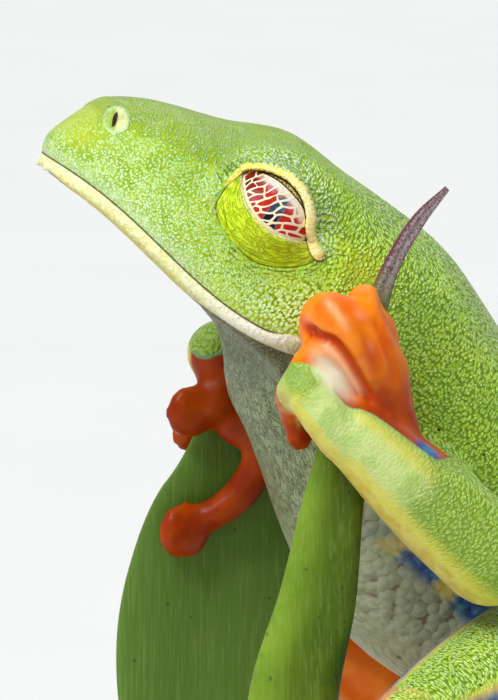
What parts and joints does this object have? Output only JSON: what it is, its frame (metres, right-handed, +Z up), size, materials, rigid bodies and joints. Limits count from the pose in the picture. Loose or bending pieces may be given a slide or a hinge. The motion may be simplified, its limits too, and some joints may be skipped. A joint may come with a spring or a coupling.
{
  "type": "red-eyed tree frog model on a display stand",
  "caption": "Life-size red-eyed tree frog, head raised and eyelids half closed, clinging upright with both hands and feet to cut leaves that short rods hold above a round base.",
  "frame": {"origin": "centre of the round base's underside", "axes": "+Z up; the frog faces -Y with its head raised, and its left side is +X"},
  "size_m": [0.074, 0.074, 0.0999],
  "materials": {
    "skin": "moist granular skin: bright yellow-green above, cream lip and belly, orange hands and feet, blue and cream barred flanks",
    "eye": "wet red eye with an upright black pupil, behind a lid netted with cream lines",
    "leaf": "satin green leaf with fine brown streaks, purple-grey at the tip",
    "base_wood": "dark stained wood, satin",
    "rod_brass": "brushed brass"
  },
  "bodies": {
    "root": {"head": "skin", "lower_jaw": "skin", "trunk": "skin", "eye_left": "eye", "eye_right": "eye", "upper_arm_left": "skin", "upper_arm_right": "skin", "forearm_left": "skin", "forearm_right": "skin", "hand_left": "skin", "hand_right": "skin", "thigh_left": "skin", "thigh_right": "skin", "shank_left": "skin", "shank_right": "skin", "ankle_left": "skin", "ankle_right": "skin", "foot_left": "skin", "foot_right": "skin", "perch_leaf_left": "leaf", "perch_leaf_right": "leaf", "stand_base": "base_wood", "stand_rod_left": "rod_brass", "stand_rod_right": "rod_brass"}
  },
  "joints": []
}
